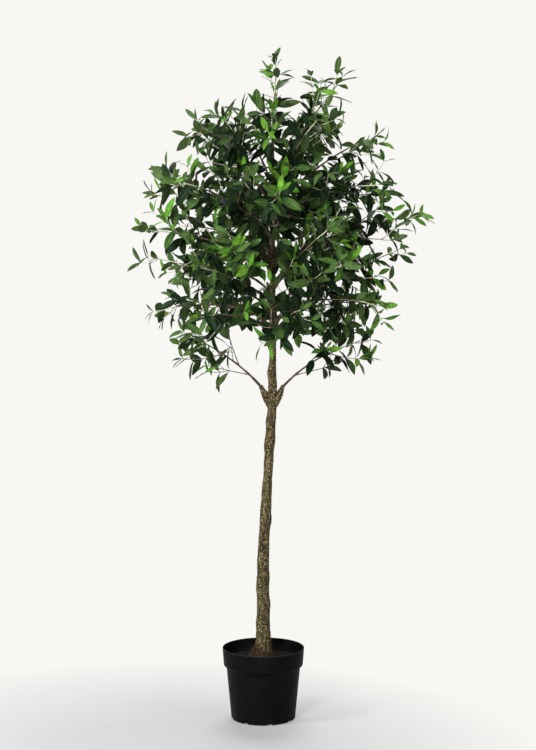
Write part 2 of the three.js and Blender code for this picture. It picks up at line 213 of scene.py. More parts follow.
def ramp(tree, value, stops):
    tone = addNode(tree, "ValToRGB", {"Fac": value}, "Color")
    elements = tone.node.color_ramp.elements
    while len(elements) < len(stops):
        elements.new(0.5)
    for element, (position, colour) in zip(elements, stops):
        element.position = position
        element.color = paint(*colour)
    return tone


def spread(tree, value, low, high, start=0.3, end=0.7, way="LINEAR"):
    sockets = {"Value": value, "From Min": start, "From Max": end, "To Min": low, "To Max": high}
    return addNode(tree, "MapRange", sockets, "Result", interpolation_type=way)


def blend(tree, share, under, colour, way="MIX"):
    sockets = {0: share, 6: under, 7: paint(*colour)}  # the numbers of its factor and its two colours
    return addNode(tree, "Mix", sockets, 2, data_type="RGBA", blend_type=way)


def bump(tree, height, strength, distance):
    sockets = {"Height": height, "Strength": strength, "Distance": distance}
    shade(tree, {"Normal": addNode(tree, "Bump", sockets, "Normal")})


def tonedMaterial(name, look):
    # a noise laid out in a few tones, and as relief where it has some
    material, tree = newMaterial(name, *look["surface"])
    marks = grain(tree, *look["grain"])
    shade(tree, {"Base Color": ramp(tree, marks, look["tones"])})
    if "bump" in look:
        bump(tree, marks, *look["bump"])
    return material


def mottledMaterial(name, colour, look, roughness, shine):
    # one colour, darker and lighter by a noise, and rougher with it
    material, tree = newMaterial(name, roughness, shine)
    marks = grain(tree, *look["grain"])
    stops = [(position, np.minimum(255, np.multiply(colour, factor)))
             for position, factor in look["contrast"]]
    rough = [roughness + change for change in look["rougher"]]
    shade(tree, {"Base Color": ramp(tree, marks, stops), "Roughness": spread(tree, marks, *rough),
                 "Specular Tint": look["sheen"]})
    return material


# Trunk: its line and its thickness at a height, as in the solids

trunkSize = {
    "foot": 0.1653, "top": 1.490, "sunk": 0.002, "lean": 0.025, "leanStarts": 0.380, "leanEnds": 0.960,
    "footRadius": 0.0186, "flare": 0.010, "flareHeight": 0.040, "forkHeight": 0.858, "forkRadius": 0.0118,
    "forkShoulder": 0.034, "leaderRadius": 0.0114, "tipRadius": 0.005,
}


def trunkPoint(height):
    height = np.asarray(height, float)
    lean = trunkSize["lean"] * smoothStep(height, trunkSize["leanStarts"], trunkSize["leanEnds"])
    return np.stack([lean, np.zeros_like(height), height], -1)


def trunkRadius(height):
    t = trunkSize
    flare = t["flare"] * np.exp((t["foot"] - height) / t["flareHeight"])
    below = np.clip((height - t["foot"]) / (t["forkHeight"] - t["foot"]), 0, 1)
    above = np.clip((height - t["forkHeight"]) / (t["top"] - t["forkHeight"]), 0, 1)
    fork = smoothStep(height, t["forkHeight"], t["forkHeight"] + t["forkShoulder"])
    stock = mixed(t["footRadius"], t["forkRadius"], below)
    return flare + mixed(stock, mixed(t["leaderRadius"], t["tipRadius"], above), fork)


# Limbs and side shoots, by the same rule and seeds as the solids

limbRule = {
    "turnSpread": 14, "reachSpread": 0.11, "heightSpread": 0.050, "bendShare": 0.32, "boughShare": 0.32,
    "boughStem": 0.0028, "spineSteps": 8, "gap": 0.0003, "seed": 1000, "seedStep": 77, "leafSeed": 40000,
}
tierNames = ("seed", "count", "hop", "first", "start", "climb", "rise", "reach", "end")
tierRows = [
    ((22, 2, 1, 4, 0.868, 0, 56, 0.231, 1.036), {"stub": 0.011}),
    ((122, 7, 3, 280, 1.004, 0.014, 50, 0.292, 1.094), {"stub": 0.007}),
    ((222, 6, 5, 2, 1.102, 0.012, 35, 0.318, 1.224), {"stem": 0.0036}),
    ((330, 7, 3, 297, 1.174, 0.014, 41, 0.302, 1.301), {"stub": 0.0062}),
    ((422, 1, 1, 5, 1.268, 0, 34, 0.377, 1.371), {"stem": 0.004, "isSpire": True}),
    ((522, 7, 3, 273, 1.282, 0.012, 44, 0.310, 1.418), {"stem": 0.004}),
    ((695, 5, 2, 1, 1.370, 0.011, 57, 0.245, 1.558), {"stem": 0.0036}),
    ((722, 3, 2, 149, 1.428, 0.011, 74, 0.111, 1.590), {"stem": 0.0032}),
    ((822, 1, 1, 358, 1.461, 0, 61, 0.171, 1.706), {"stem": 0.0032, "isSpire": True}),
]
tiers = [dict(zip(tierNames, row), **more) for row, more in tierRows]
leader = {"start": 1.4903, "reach": 0.008, "end": 1.721, "stem": 0.0044, "isSpire": True}


def bentLine(points, start=0, end=1):
    # a bent line through three points, used from one share of its length to another
    return {"line": points, "from": start, "to": end}


def along(twig, share):
    share = mixed(twig["from"], twig["to"], np.asarray(share, float))[..., None]
    start, bend, tip = twig["line"]
    return (1 - share) ** 2 * start + 2 * share * (1 - share) * bend + share ** 2 * tip


def heading(twig, share):
    share = mixed(twig["from"], twig["to"], np.asarray(share, float))[..., None]
    start, bend, tip = twig["line"]
    return unit((1 - share) * (bend - start) + share * (tip - bend))


def lengthOf(twig):
    return np.linalg.norm(np.diff(along(twig, np.linspace(0, 1, 201)), axis=0), axis=1).sum()


def spineOf(twig):
    return along(twig, np.linspace(0, 1, limbRule["spineSteps"] + 1))


def limbFrom(points, tier, isLow):
    return {"line": points, "stub": tier.get("stub"), "stem": tier.get("stem", limbRule["boughStem"]),
            "isSpire": tier.get("isSpire", False), "isLow": isLow}


def makeLimbs():
    rule, found = limbRule, []
    for t, tier in enumerate(tiers):
        for k in range(tier["count"]):
            draw = seeded(tier["seed"] + k)
            turn = tier["first"] + k * tier["hop"] * 360 / tier["count"] + about(draw, rule["turnSpread"])
            reach = tier["reach"] * (1 + about(draw, rule["reachSpread"]))
            end = tier["end"] + about(draw, rule["heightSpread"])
            start = trunkPoint(tier["start"] + k * tier["climb"])
            outward = sideways(math.radians(turn))
            out = rule["bendShare"] * reach
            bend = start + outward * out + up * math.tan(math.radians(tier["rise"])) * out
            tip = start + outward * reach
            tip[2] = end
            found.append(limbFrom((start, bend, tip), tier, t == 0))
    start = trunkPoint(leader["start"])
    tip = np.array([start[0] + leader["reach"], start[1], leader["end"]])
    bend = np.array([start[0], start[1], (start[2] + tip[2]) / 2])
    found.append(limbFrom((start, bend, tip), leader, False))
    for k, limb in enumerate(found):
        share = rule["boughShare"] if limb["stub"] else 0
        limb["seed"] = rule["seed"] + rule["seedStep"] * k
        limb["whole"] = bentLine(limb["line"])
        limb["bough"] = bentLine(limb["line"], 0, share)
        gap = rule["gap"] / lengthOf(limb["whole"]) if limb["stub"] else 0
        limb["shaft"] = bentLine(limb["line"], share + gap)
    return found


limbs = makeLimbs()
limbSpines = np.stack([spineOf(limb["whole"]) for limb in limbs])
boughSpines = np.stack([spineOf(limb["bough"]) for limb in limbs if limb["stub"]])
boughRadii = np.array([limb["stub"] for limb in limbs if limb["stub"]])


def distances(points, spines):
    # from each point to each spine, a spine being a row of points joined by straight pieces
    start, way = spines[:, :-1], np.diff(spines, axis=1)
    to = points[:, None, None] - start
    share = np.clip((to * way).sum(-1) / (way * way).sum(-1), 0, 1)
    return np.linalg.norm(to - share[..., None] * way, axis=-1).min(-1)


def isClearOfWood(points, margin):
    fromTrunk = np.linalg.norm(points[:, :2] - trunkPoint(points[:, 2])[:, :2], axis=1)
    clear = (points[:, 2] > trunkSize["top"] + margin) | (fromTrunk > trunkRadius(points[:, 2]) + margin)
    return clear & (distances(points, boughSpines) > boughRadii + margin).all(1)


def isFree(points, own, margin=0):
    # nearer to its own limb than to any other, and clear of the wood
    far = distances(points, limbSpines)
    mine = far[:, own].copy()
    far[:, own] = np.inf
    return bool((far.min(1) > mine + margin).all() and isClearOfWood(points, shootRule["woodMargin"]).all())


def leaning(axis, angle, around):
    # leans off the axis by an angle, the given degrees round it from its upper side
    upper = unit(up - axis * np.dot(up, axis))
    away = turned(upper, axis, around)
    return axis * math.cos(math.radians(angle)) + away * math.sin(math.radians(angle))


shootRule = {
    "spacing": 0.096, "angle": 52, "length": 0.118, "size": (0.85, 0.3), "taper": 0.1, "lift": 0.16,
    "first": 0.06, "span": 0.8, "stray": 0.5, "goldenTurn": 137.5, "turnSpread": 40, "tries": 8,
    "bend": 0.55, "run": 0.95, "spaceMargin": 0.003, "woodMargin": 0.005, "twigMargin": 0.010,
}


def shootFrom(base, direction, length, lift):
    bend = base + direction * shootRule["bend"] * length
    tip = base + direction * shootRule["run"] * length + up * lift * length
    return bentLine((base, bend, tip))


def sideShoots(own, limb, draw):
    rule, shaft = shootRule, limb["shaft"]
    count = math.floor(lengthOf(shaft) / rule["spacing"] + 0.5)
    twigs, shoots = [spineOf(shaft)], []
    for k in range(count):
        share = rule["first"] + rule["span"] * (k + rule["stray"] * draw()) / count
        around = k * rule["goldenTurn"] + rule["turnSpread"] * draw()
        length = rule["length"] * (1 - rule["taper"] * share) * ranged(draw, *rule["size"])
        for trial in range(rule["tries"]):
            turn = around + trial * 360 / rule["tries"]
            direction = leaning(heading(shaft, share), rule["angle"], turn)
            shoot = shootFrom(along(shaft, share), direction, length, rule["lift"])
            points = along(shoot, np.arange(2, 9) / 8)
            near = distances(points, np.stack(twigs)).min()
            if near > rule["twigMargin"] and isFree(points, own, rule["spaceMargin"]):
                twigs.append(spineOf(shoot))
                shoots.append(shoot)
                break
    return shoots


# Finer growth: each twig grows on and turns up, bears twiglets, then leaves in pairs

caneRule = {
    "points": 14, "tipLift": 0.30, "upturn": 0.026, "turnsFrom": 0.35, "turnsTo": 1.15,  # how twigs turn up
    "spireTip": 0.034, "stemTip": 0.018, "shootTip": 0.010, "fineTip": 0.008,  # how far they grow on
    "forkAt": 0.05, "forkAngle": 34, "forkSpread": 70, "forkLength": 0.105, "forkSize": (0.85, 0.3),
    "forkLift": 0.02,
    "spacing": 0.080, "first": 0.036, "stray": (0.2, 0.6), "angle": 46, "length": 0.055,
    "lengthSpread": 0.5, "lift": 0.14, "tries": 4,
    "wispShare": 0.30, "wispAt": (0.55, 0.4), "wispAngle": 62, "wispLength": 0.044,  # bare, fine as wire
    "wispSize": (0.7, 0.6), "wispLift": -0.05,
}


def makeCane(twig, tip, upturn=0.0):
    rule = caneRule
    shares = np.linspace(0, 1, rule["points"])
    lift = upturn * smoothStep(shares, rule["turnsFrom"], rule["turnsTo"])
    points = along(twig, shares) + up * lift[:, None]
    way = unit(points[-1] - points[-2])
    bend = points[-1] + way * tip / 2
    end = bend + unit(way + rule["tipLift"] * up) * tip / 2
    more = along(bentLine((points[-1], bend, end)), np.linspace(0.2, 1, 5))
    points = np.vstack([points, more])
    steps = np.linalg.norm(np.diff(points, axis=0), axis=1)
    return {"points": points, "marks": np.hstack([0, np.cumsum(steps)]), "length": steps.sum()}


def placeOn(cane, distance):
    return np.array([np.interp(distance, cane["marks"], cane["points"][:, axis]) for axis in range(3)])


def wayOn(cane, distance):
    step = 0.003
    distance = min(max(distance, step), cane["length"] - step)
    return unit(placeOn(cane, distance + step) - placeOn(cane, distance - step))


def forkTwig(own, limb, draw):
    # past the end of its bark, a low limb sends a second twig outward and lower
    rule, shaft = caneRule, limb["shaft"]
    side = 180 + about(draw, rule["forkSpread"])
    length = rule["forkLength"] * ranged(draw, *rule["forkSize"])
    direction = leaning(heading(shaft, rule["forkAt"]), rule["forkAngle"], side)
    twig = shootFrom(along(shaft, rule["forkAt"]), direction, length, rule["forkLift"])
    return twig if isFree(along(twig, [0.6, 0.8, 1.0]), own) else None


def twiglets(own, parent, draw):
    rule, found = caneRule, []
    room = parent["length"] - rule["first"]
    count = max(0, math.floor(room / rule["spacing"] + 0.5 * draw()))
    for k in range(count):
        distance = rule["first"] + (k + ranged(draw, *rule["stray"])) * room / count
        around = k * shootRule["goldenTurn"] + 360 * draw()
        size = rule["length"] * (1 + about(draw, rule["lengthSpread"]))
        for trial in range(rule["tries"]):
            turn = around + trial * 360 / rule["tries"]
            direction = leaning(wayOn(parent, distance), rule["angle"], turn)
            twig = shootFrom(placeOn(parent, distance), direction, size, rule["lift"])
            if isFree(along(twig, [0.4, 0.7, 1.0]), own):
                found.append(makeCane(twig, rule["fineTip"]))
                break
    return found


def wisp(own, parent, draw):
    rule = caneRule
    distance = parent["length"] * ranged(draw, *rule["wispAt"])
    direction = leaning(wayOn(parent, distance), rule["wispAngle"], 360 * draw())
    length = rule["wispLength"] * ranged(draw, *rule["wispSize"])
    twig = shootFrom(placeOn(parent, distance), direction, length, rule["wispLift"])
    return makeCane(twig, rule["fineTip"]) if isFree(along(twig, [0.5, 1.0]), own) else None


leafRule = {
    "spacing": 0.031, "stemSpacing": 0.036, "stray": 0.3, "first": 0.018, "bareStem": 0.07,
    "angle": 58, "angleSpread": 24, "pairTurn": 90, "turnSpread": 50, "roll": 44, "towardsLight": 0.35,
    "hang": 0.55, "size": (0.84, 0.32), "tipSize": 0.80, "fullAt": 0.050,  # full size this far from the tip
    "woodMargin": 0.004, "boxMargin": 0.006,
    "bareCore": 0.112, "bareUntil": 1.32, "coreShare": 0.30, "bareLow": 0.108, "lowUntil": 0.985,
    "brightShare": 0.33, "youngReach": 0.038, "midReach": 0.080, "midShare": 0.26,  # which sprays end bright
    "tuftLeaves": 1.4, "tuftSize": 0.60, "tuftSpread": (0.8, 0.8), "tuftAngle": 44, "tuftLean": (0.5, 1),
    "tuftFirst": 45, "tuftTurn": 160, "tuftStray": 40, "tuftRoll": 40,
}
leafKinds = {
    "old": {"length": 0.062, "width": 0.355, "surface": (0.46, 0.12), "rib": (38, 57, 29),
            "under": (46, 64, 37), "shades": [(9, 21, 6), (18, 32, 18), (34, 50, 21)]},
    "mid": {"length": 0.061, "width": 0.335, "surface": (0.54, 0.13), "rib": (90, 114, 64),
            "under": (84, 108, 62), "shades": [(51, 80, 32), (66, 95, 45), (60, 80, 38)]},
    "young": {"length": 0.056, "width": 0.315, "surface": (0.58, 0.13), "rib": (118, 152, 72),
              "under": (94, 128, 61), "shades": [(74, 126, 29), (96, 144, 44), (64, 110, 31)]},
}
leaves = []


def plantLeaf(root, axis, angle, around, size, kind, roll, draw):
    # few leaves stand close to the trunk, where the limbs are bare
    core = np.linalg.norm((root - trunkPoint(root[2]))[:2])
    if core < leafRule["bareCore"] and root[2] < leafRule["bareUntil"] and draw() > leafRule["coreShare"]:
        return
    if core < leafRule["bareLow"] and root[2] < leafRule["lowUntil"]:
        return
    direction = leaning(axis, angle, around)
    if kind == "old":
        direction = unit(direction - up * leafRule["hang"] * draw())
    face = unit(axis - direction * np.dot(axis, direction) + 0.001 * up)
    face = unit(face + leafRule["towardsLight"] * up)
    face = unit(face - direction * np.dot(face, direction))
    face = turned(face, direction, roll * (2 * draw() - 1))
    length = leafKinds[kind]["length"] * size * ranged(draw, *leafRule["size"])
    width = length * leafKinds[kind]["width"] * ranged(draw, *leafRule["size"])
    leaves.append({"root": root, "direction": direction, "face": face, "length": length, "width": width,
                   "kind": kind, "chance": draw()})


def leafUp(cane, bare, spacing, isBright, draw):
    rule = leafRule
    first = bare + rule["first"]
    count = max(1, round((cane["length"] - first) / spacing))
    turn = 360 * draw()
    for k in range(count):
        distance = first + (k + rule["stray"] * draw()) * (cane["length"] - first) / count
        left = cane["length"] - distance
        kind = "old"
        if left < rule["midReach"]:
            kind = "mid" if isBright or draw() < rule["midShare"] else "old"
            if isBright and left < rule["youngReach"]:
                kind = "young"
        size = mixed(rule["tipSize"], 1, min(1, left / rule["fullAt"]))
        around = turn + k * rule["pairTurn"] + about(draw, rule["turnSpread"])
        root, axis = placeOn(cane, distance), wayOn(cane, distance)
        for side in (0, 180):
            angle = rule["angle"] + about(draw, rule["angleSpread"])
            plantLeaf(root, axis, angle, around + side, size, kind, rule["roll"], draw)
    # a small tuft closes the twig
    kind = "young" if isBright else "mid"
    tip, axis = cane["points"][-1], wayOn(cane, cane["length"])
    for k in range(2 + round(rule["tuftLeaves"] * draw())):
        around = turn + rule["tuftFirst"] + k * rule["tuftTurn"] + rule["tuftStray"] * draw()
        size = rule["tuftSize"] * ranged(draw, *rule["tuftSpread"])
        angle = rule["tuftAngle"] * ranged(draw, *rule["tuftLean"])
        plantLeaf(tip, axis, angle, around, size, kind, rule["tuftRoll"], draw)


canes = {"stem": [], "shoot": [], "fine": [], "wisp": []}
for own, limb in enumerate(limbs):
    grown = [(shoot, "shoot") for shoot in sideShoots(own, limb, seeded(limb["seed"]))]
    draw = seeded(limb["seed"] + limbRule["leafSeed"])
    fork = forkTwig(own, limb, draw) if limb["isLow"] else None
    if fork:
        grown.append((fork, "shoot"))
    for twig, size in [(limb["shaft"], "stem"), *grown]:
        isSpire = size == "stem" and limb["isSpire"]
        turnsUp = size == "stem" and not limb["isSpire"] and not limb["isLow"]
        tip = caneRule["spireTip" if isSpire else size + "Tip"]
        cane = makeCane(twig, tip, caneRule["upturn"] * turnsUp)
        cane["base"] = limb["stem"]
        canes[size].append(cane)
        bare = leafRule["bareStem"] if size == "stem" and not limb["stub"] else 0
        spacing = leafRule["stemSpacing"] if size == "stem" else leafRule["spacing"]
        leafUp(cane, bare, spacing, isSpire or draw() < leafRule["brightShare"], draw)
        bareEnd = wisp(own, cane, draw) if draw() < caneRule["wispShare"] else None
        if bareEnd:
            canes["wisp"].append(bareEnd)
        for small in twiglets(own, cane, draw):
            canes["fine"].append(small)
            leafUp(small, 0, leafRule["spacing"], draw() < leafRule["brightShare"], draw)
print("grown:", {size: len(found) for size, found in canes.items()}, "twigs and", len(leaves), "leaves")


# Bark: pebbly scales, furrows and knots raised on the mesh itself

barkRelief = {
    "rings": 0.0015, "around": 72, "limbAround": 30, "sink": 0.0008,  # the relief stands on a slimmer core
    "swell": 0.0016, "swellSize": 0.046, "fine": 0.0006, "fineSize": 0.0026, "fineTone": 0.6,
    "pebble": 0.0012, "pebbleSize": 0.0036, "pebbleStretch": 1.2, "pebbleEdge": 2.2, "pebbleTone": 0.38,
    "furrow": 0.0008, "furrowSize": 0.005, "furrowStretch": 3, "furrowTone": 0.26,
    "knots": 40, "knotHeight": 0.0030, "knotSize": 0.011, "knotScale": (0.4, 0.9), "knotStretch": 1.4,
    "knotLeast": 0.6, "knotGrowth": 0.5, "knotsFrom": 0.24, "knotsTo": 1.2, "knotSeed": 9,
    "roots": 5, "rootHeight": 0.0030, "rootFade": 0.026, "rootTwist": 1.3, "rootTurn": 0.4, "rootDip": 0.35,
    "fullRadius": 0.015, "leastRelief": 0.45,  # thinner wood has less relief
}
barkLook = {
    "surface": (0.85, 0.25), "speckGrain": (620, 3), "roughness": (0.72, 0.95), "bump": (0.5, 0.0012),
    "tones": [(0.10, (14, 11, 6)), (0.38, (54, 47, 27)), (0.62, (98, 88, 57)), (0.95, (164, 150, 108))],
    "gritGrain": (300, 2), "grit": (-0.24, 0.24, 0.36, 0.64),
    "patchGrain": (26, 4, (1, 1, 0.45)), "patchShare": (0, 0.40), "patch": (158, 124, 100),
    "earth": (152, 104, 72), "earthFade": (0.85, 0, 0.180, 0.210),
}


def noiseAt(x, y, z, size):
    return noise.noise((x / size, y / size, z / size))


def barkHeights(points):
    # relief on unbent points in metres, and the same as a share from hollow, 0, to crest, 1
    b, size = barkRelief, barkRelief["pebbleSize"]
    relief, crest = [], []
    for x, y, z in points:
        swell = noiseAt(x, y, z, b["swellSize"])
        cell = noise.voronoi((x / size, y / size, z / b["pebbleStretch"] / size))[0]
        pebble = min(1, (cell[1] - cell[0]) * b["pebbleEdge"]) - 0.5
        furrow = noiseAt(x, y, z / b["furrowStretch"], b["furrowSize"])
        fine = noiseAt(x, y, z, b["fineSize"])
        relief.append(b["swell"] * swell + b["pebble"] * pebble + b["furrow"] * furrow + b["fine"] * fine)
        crest.append(0.5 + b["pebbleTone"] * pebble + b["furrowTone"] * furrow + b["fineTone"] * fine)
    return np.array(relief), np.clip(crest, 0, 1)


def barkTube(line, ways, radii, sides, strength, extra=0):
    # a ring of points round each place of the line, raised by the bark's relief
    out = spokes(ways, np.array([0, 1, 1e-4]), sides)
    rough = line[:, None] + out * radii[:, None, None]
    relief, crest = barkHeights(rough.reshape(-1, 3))
    relief = relief.reshape(len(line), sides) * strength[:, None] + extra
    points = line[:, None] + out * (radii[:, None] + relief)[..., None]
    return points, crest.reshape(len(line), sides)


def addRelief(piece, crest):
    attribute = piece.data.attributes.new("crest", "FLOAT", "POINT")
    attribute.data.foreach_set("value", crest.astype(np.float32).ravel())


def barkMaterial():
    look = barkLook
    material, tree = newMaterial("mouldedBark", *look["surface"])
    # fine grit on top of what the mesh raises
    crest = addNode(tree, "Attribute", {}, "Fac", attribute_name="crest")
    grit = spread(tree, grain(tree, *look["gritGrain"]), *look["grit"])
    # darker in the hollows and lighter on the crests: partly the bark's own colour, partly painted shade in
    # the hollows
    tone = ramp(tree, addNode(tree, "Math", {0: crest, 1: grit}), look["tones"])
    patches = spread(tree, grain(tree, *look["patchGrain"]), *look["patchShare"])
    dull = blend(tree, patches, tone, look["patch"], "MULTIPLY")
    foot = spread(tree, heightIn(tree), *look["earthFade"])
    specks = grain(tree, *look["speckGrain"])
    shade(tree, {"Base Color": blend(tree, foot, dull, look["earth"], "MULTIPLY"),
                 "Roughness": spread(tree, specks, *look["roughness"])})
    bump(tree, specks, *look["bump"])
    return material


bark = barkMaterial()


def trunkLumps(heights, ring):
    # knots here and there, and the ribs of the flared foot
    b = barkRelief
    draw = seeded(b["knotSeed"])
    lumps = np.zeros((len(heights), len(ring)))
    for _ in range(b["knots"]):
        angle = 2 * math.pi * draw()
        height = mixed(b["knotsFrom"], b["knotsTo"], draw())
        size = ranged(draw, *b["knotScale"])
        across = (np.angle(np.exp(1j * (ring - angle))) * trunkRadius(height))[None]
        span = ((heights - height)[:, None] / b["knotStretch"]) ** 2 + across ** 2
        wide = b["knotSize"] * (b["knotLeast"] + b["knotGrowth"] * size)
        lumps += b["knotHeight"] * size * np.exp(-span / wide ** 2)
    fade = np.exp((trunkSize["foot"] - heights) / b["rootFade"])[:, None]
    twist = b["rootTwist"] * np.sin(2 * ring + 0.6)
    wave = np.cos(b["roots"] * ring + twist + b["rootTurn"])[None]
    return lumps + b["rootHeight"] * fade * (wave - b["rootDip"])


def makeTrunk():
    b, t = barkRelief, trunkSize
    count = int((t["top"] - t["foot"]) / b["rings"])
    heights = np.linspace(t["foot"] - t["sunk"], t["top"], count)
    line = trunkPoint(heights)
    ways = np.broadcast_to(up, line.shape)
    strength = np.clip(trunkRadius(heights) / b["fullRadius"], b["leastRelief"], 1.0)
    lumps = trunkLumps(heights, fullTurn(b["around"]))
    points, crest = barkTube(line, ways, trunkRadius(heights) - b["sink"], b["around"], strength, lumps)
    faces = gridFaces(count, b["around"])
    trunk = makePiece("barkTrunk", points.reshape(-1, 3), [(faces, 0)], [bark], ["trunk"])
    addRelief(trunk, crest)


boughShape = {
    "stubLength": 0.055, "stubSize": 0.82, "lowStub": 0.011, "rootDepth": 0.031, "rootSize": 0.5,
    "fullAt": 0.45, "endFrom": 0.5, "endSize": 0.62, "endLeast": 0.0004, "offset": 0.30, "blunt": 0.007,
    "stubRelief": 0.9, "reliefAt": 0.009,
    "limbFrom": 0.06, "limbRadius": 0.0050, "tipRadius": 0.0030, "limbRelief": 0.3, "limbTone": 0.46,
    "limbContrast": 0.4,
}


def stubTube(limb):
    # a blunt moulded stub that forks off the trunk; the thin limb leaves it on the outer side
    s, size = boughShape, limb["stub"] / boughShape["lowStub"]
    radius = limb["stub"] * s["stubSize"]
    end = along(limb["bough"], size * s["stubLength"] / lengthOf(limb["bough"]))
    outward = (end - trunkPoint(end[2])) * (1, 1, 0)
    end = end - unit(outward) * radius * s["offset"]
    root = limb["line"][0] - up * s["rootDepth"] * size
    length = np.linalg.norm(end - root)
    count = int(length / barkRelief["rings"])
    shares = np.linspace(0, 1, count)
    left = np.clip((1 - shares) * length / s["blunt"], 0, 1)
    radii = radius * mixed(s["rootSize"], 1, smoothStep(shares, 0, s["fullAt"]))
    radii = radii * np.sqrt(np.maximum(s["endLeast"], 1 - (1 - left) ** 3))
    radii = radii * mixed(1, s["endSize"], smoothStep(shares, s["endFrom"], 1))
    ways = np.broadcast_to(unit(end - root), (count, 3))
    strength = np.minimum(s["stubRelief"], left) * min(1, limb["stub"] / s["reliefAt"])
    return barkTube(mixed(root, end, shares[:, None]), ways, radii, barkRelief["limbAround"], strength)


def limbTube(limb):
    s = boughShape
    count = int(lengthOf(limb["bough"]) / barkRelief["rings"])
    shares = np.linspace(s["limbFrom"], 1, count)
    line, ways = along(limb["bough"], shares), heading(limb["bough"], shares)
    radii = mixed(s["limbRadius"], s["tipRadius"], shares)
    tube, crest = barkTube(line, ways, radii, barkRelief["limbAround"], np.full(count, s["limbRelief"]))
    return tube, s["limbTone"] + s["limbContrast"] * (crest - 0.5)


def makeBoughs():
    points, faces, crests, total = [], [], [], 0
    for limb in limbs:
        if not limb["stub"]:
            continue
        for tube, crest in (stubTube(limb), limbTube(limb)):
            points.append(tube.reshape(-1, 3))
            crests.append(crest.ravel())
            faces.append(gridFaces(len(tube), barkRelief["limbAround"]) + total)
            total += crest.size
    parts = [(np.vstack(faces), 0)]
    boughs = makePiece("barkBoughs", np.vstack(points), parts, [bark], boughNodes)
    addRelief(boughs, np.hstack(crests))


makeTrunk()
makeBoughs()


# Twigs: brown where they leave the wood, pale further out

twigLook = {
    "tones": {"brown": (84, 70, 48), "tan": (112, 102, 76), "pale": (196, 192, 166), "dark": (62, 56, 44)},
    "surface": (0.6, 0.35), "sheen": (1.0, 1.0, 1.0, 1.0), "grain": (240, 3), "rougher": (-0.10, 0.12),
    "contrast": [(0.35, 0.80), (0.65, 1.12)],
    "brownUntil": 0.35, "tanUntil": 0.72, "shootTan": 0.40, "paleFrom": 1.03,
    "stemTip": 0.0011, "shootBase": 0.0014, "shootTip": 0.0008, "fineBase": 0.0010, "fineTip": 0.0007,
    "wispBase": 0.0008, "wispTip": 0.0005, "point": 0.0001, "sides": 7, "nodeSwell": 0.25,
}


def twigTones(size, cane, share):
    # numbers of the tones, in their order above
    look = twigLook
    if size == "stem":
        return (share >= look["brownUntil"]).astype(int) + (share >= look["tanUntil"])
    if size == "wisp":
        return np.full(len(share), 3)
    isLow = cane["points"][0][2] < look["paleFrom"]
    return np.where((share < look["shootTan"]) | isLow, 1, 2)


def makeTwigs():
    look = twigLook
    tubes, numbers = [], []
    slant = np.array([0.31, 0.93, 0.17])
    for size, found in canes.items():
        for cane in found:
            share = cane["marks"] / cane["length"]
            base = cane["base"] if size == "stem" else look[size + "Base"]
            swell = 1 + look["nodeSwell"] * (np.arange(len(share)) % 3 == 1)
            radii = mixed(base, look[size + "Tip"], share) * swell
            radii[-1] = look["point"]
            ways = unit(np.gradient(cane["points"], axis=0))
            tubes.append(tubeAlong(cane["points"], ways, radii, slant, look["sides"]))
            numbers.append(np.repeat(twigTones(size, cane, share)[:-1], look["sides"]))
    faces = tubeFaces(len(tubes), len(tubes[0]) // look["sides"], look["sides"])
    materials = [mottledMaterial(name + "Twig", colour, look, *look["surface"])
                 for name, colour in look["tones"].items()]
    makePiece("twigs", np.vstack(tubes), [(faces, np.hstack(numbers))], materials, foliageNodes)


makeTwigs()


# Leaves: a petiole and a folded, arching blade with a raised midrib, upper side and underside

leafShape = {
    "rows": (0, 0.085, 0.15, 0.27, 0.42, 0.58, 0.74, 0.88), "columns": (-1, -0.55, -0.08, 0.08, 0.55, 1),
    "petiole": 0.085, "stalkHalf": 0.0008, "stalkThick": 2.5, "thick": 0.00035, "rise": 0.82, "fall": 0.86,
    "fold": 0.22, "wave": 0.05, "waves": 9, "waveShift": 40, "droop": 0.20, "droopSpread": 0.18,
}
leafLook = {
    "sheen": (0.62, 1.0, 0.58, 1.0), "grain": (70, 3), "contrast": [(0.32, 0.86), (0.68, 1.10)],
    "rougher": (-0.06, 0.08), "rib": (0.6, 0.15), "under": (0.7, 0.1), "shuffle": 97,
}


def leafPoints(leaf):
    s = leafShape
    across = np.array(s["columns"])[None]
    rows = np.array(s["rows"])[:, None]
    blade = np.clip((rows - s["petiole"]) / (1 - s["petiole"]), 0, 1)
    widest = s["rise"] / (s["rise"] + s["fall"])
    full = widest ** s["rise"] * (1 - widest) ** s["fall"]
    outline = 0.5 * leaf["width"] * blade ** s["rise"] * (1 - blade) ** s["fall"] / full
    half = np.maximum(s["stalkHalf"], outline)
    droop = s["droop"] + s["droopSpread"] * (2 * leaf["chance"] - 1)
    ripple = s["wave"] * leaf["width"] * np.sin(s["waves"] * rows + s["waveShift"] * leaf["chance"] + across)
    ripple = ripple * np.abs(across) * (half > 2 * s["stalkHalf"])
    rise = s["fold"] * half * np.abs(across) + ripple - droop * leaf["length"] * rows ** 2
    side = np.cross(leaf["face"], leaf["direction"])

    def placed(forward, sideward, upward):
        return (leaf["root"] + forward[..., None] * leaf["direction"] + sideward[..., None] * side
                + upward[..., None] * leaf["face"])
    forward = np.broadcast_to(rows * leaf["length"], rise.shape)
    top = placed(forward, half * across, rise)
    isStalk = rows <= s["petiole"]
    inner = (np.abs(across) < 1) | isStalk
    below = placed(forward, half * across, rise - np.where(isStalk, s["stalkThick"], 1) * s["thick"] * inner)
    tip = placed(np.array([leaf["length"]]), np.zeros(1), np.array([-droop * leaf["length"]]))
    return np.vstack([top.reshape(-1, 3), tip, below.reshape(-1, 3), tip])


